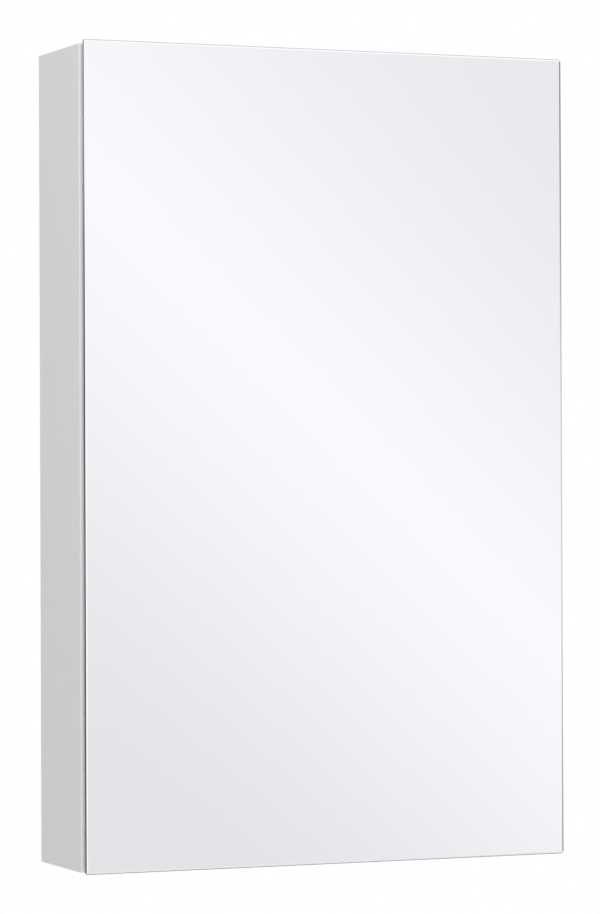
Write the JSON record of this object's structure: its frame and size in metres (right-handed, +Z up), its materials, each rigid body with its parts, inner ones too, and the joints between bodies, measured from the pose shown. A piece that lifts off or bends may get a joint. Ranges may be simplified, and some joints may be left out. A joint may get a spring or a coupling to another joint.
{
  "type": "shaving cabinet",
  "caption": "Wall-hung shaving cabinet: a frameless mirror door with pencil edges on a continuous hinge, a pale board carcass, and glass shelves on pins inside.",
  "frame": {"origin": "on the wall plane, at the centre of the four wall-fixing holes, which is also the middle of the carcass", "axes": "+X to the right as someone faces the mirror, +Y back into the wall, +Z up"},
  "size_m": [0.45, 0.11, 0.7],
  "materials": {
    "board": "satin white melamine on chipboard",
    "edge_band": "satin white edge band",
    "back_sheet": "white coated fibreboard",
    "raw_board": "satin white melamine on chipboard",
    "dowel_wood": "plain beech",
    "zinc": "bare die-cast zinc",
    "steel": "zinc-plated",
    "hinge_steel": "satin stainless",
    "white_plastic": "fine satin",
    "clear_plastic": "clear and soft",
    "clear_buffer": "clear and soft",
    "shelf_glass": "clear with polished edges",
    "mirror": "silvered, with polished pencil edges",
    "film": "white safety film",
    "foam_tape": "closed-cell foam",
    "magnet": "dark ferrite"
  },
  "bodies": {
    "cabinet": {"left_side": "board", "right_side": "board", "top_panel": "board", "bottom_panel": "board", "left_edge_band": "edge_band", "right_edge_band": "edge_band", "top_edge_band": "edge_band", "bottom_edge_band": "edge_band", "back_panel": "back_sheet", "upper_hanging_rail": "raw_board", "lower_hanging_rail": "raw_board", "cam_locks": "zinc", "cam_bolts": "steel", "cam_caps": "white_plastic", "dowels": "dowel_wood", "rail_dowels": "dowel_wood", "upper_shelf": "shelf_glass", "lower_shelf": "shelf_glass", "shelf_pins": "steel", "shelf_sleeves": "clear_plastic", "hinge_body_leaf": "hinge_steel", "hinge_pin": "hinge_steel", "hinge_screws": "steel", "upper_catch_housing": "white_plastic", "lower_catch_housing": "white_plastic", "catch_magnets": "magnet", "catch_poles": "steel", "catch_screws": "steel", "door_buffers": "clear_buffer"},
    "door": {"mirror_glass": "mirror", "mirror_backing": "film", "hinge_door_leaf": "hinge_steel", "hinge_tape": "foam_tape", "strike_plates": "steel", "strike_pads": "foam_tape"}
  },
  "joints": [
    {"name": "door_hinge", "type": "hinge", "parent": "cabinet", "child": "door", "pos_m": [0.223, -0.1031, 0], "axis": [0, 0, 1], "range_deg": [0, 145]}
  ]
}
